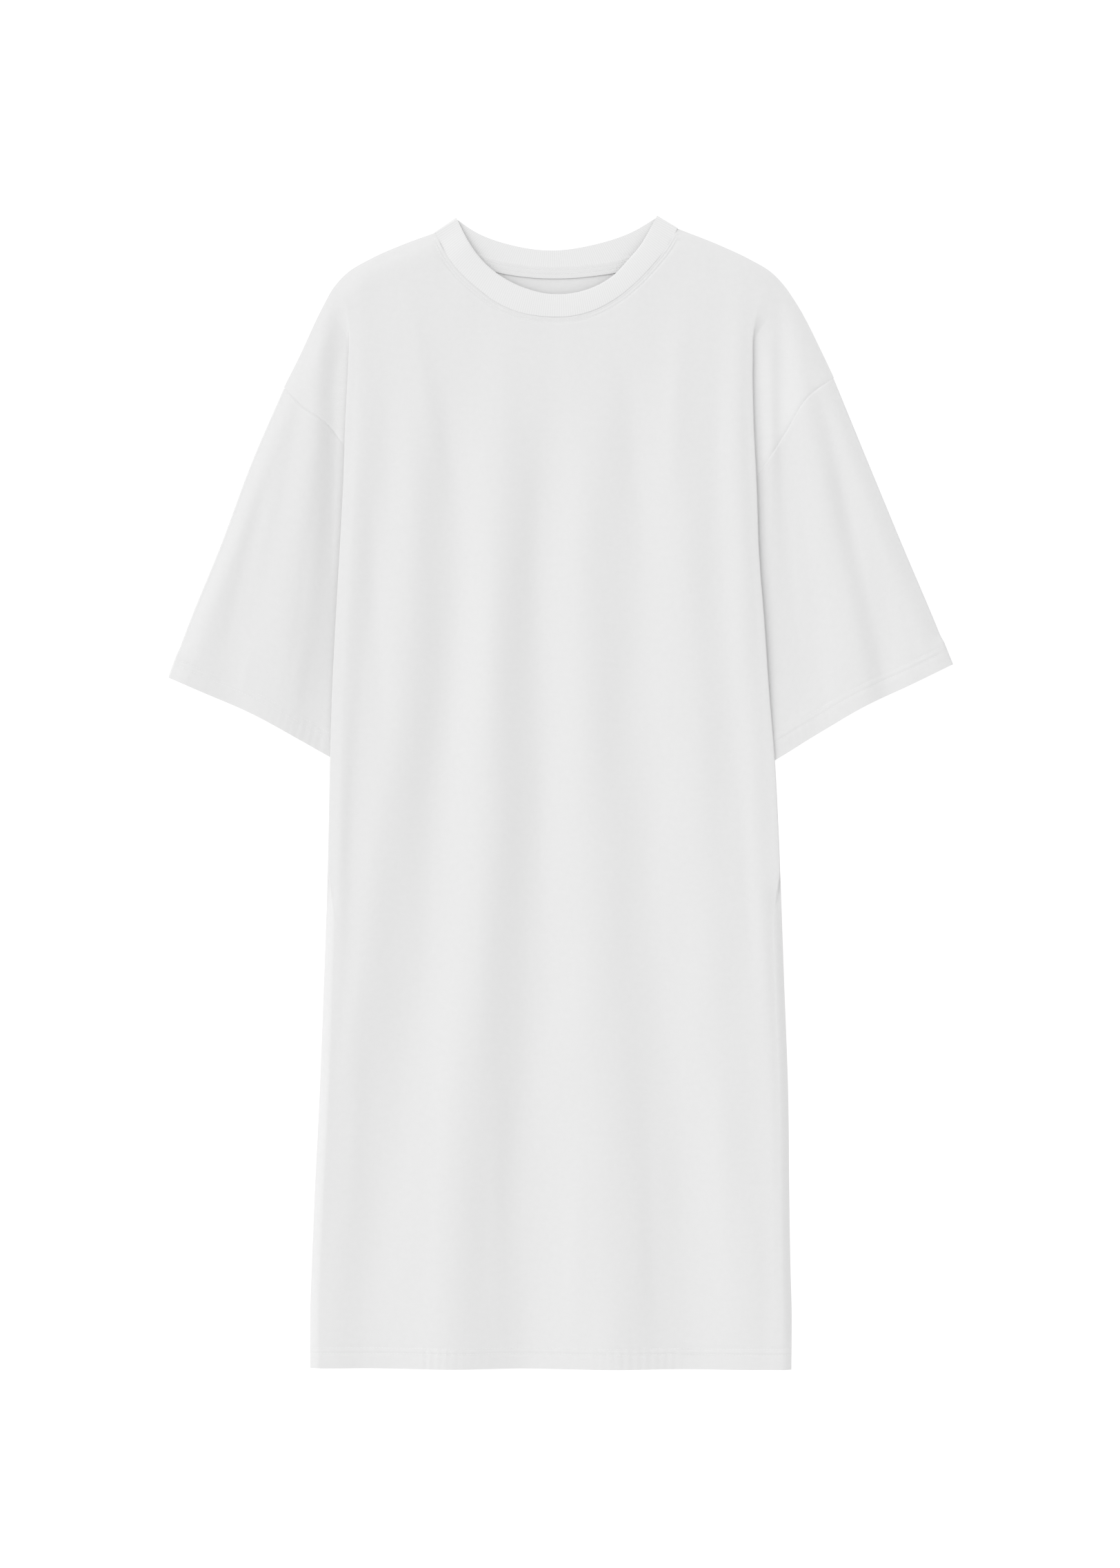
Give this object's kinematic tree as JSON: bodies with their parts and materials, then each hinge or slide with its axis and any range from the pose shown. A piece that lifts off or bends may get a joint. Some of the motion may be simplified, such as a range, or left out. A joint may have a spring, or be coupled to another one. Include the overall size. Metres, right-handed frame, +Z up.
{
  "type": "t-shirt dress",
  "caption": "Oversized jersey T-shirt dress laid flat, with a crew neck, dropped shoulders, elbow-length sleeves and soft vertical folds down the skirt.",
  "frame": {"origin": "middle of the laid garment's outline, on the surface it lies on", "axes": "+X towards the wearer's left, +Y from the hem to the neck, +Z up, out of the front"},
  "size_m": [0.7654, 1.1246, 0.0148],
  "materials": {
    "front_jersey": "matte, fine jersey knit",
    "back_jersey": "matte, fine jersey knit",
    "right_sleeve_jersey": "matte, fine jersey knit",
    "left_sleeve_jersey": "matte, fine jersey knit",
    "neck_rib": "matte, 1x1 rib knit",
    "neck_tape": "matte, plain tape"
  },
  "bodies": {
    "root": {"front": "front_jersey", "back": "back_jersey", "right_sleeve": "right_sleeve_jersey", "left_sleeve": "left_sleeve_jersey", "neckband": "neck_rib", "neck_tape": "neck_tape"}
  },
  "joints": []
}
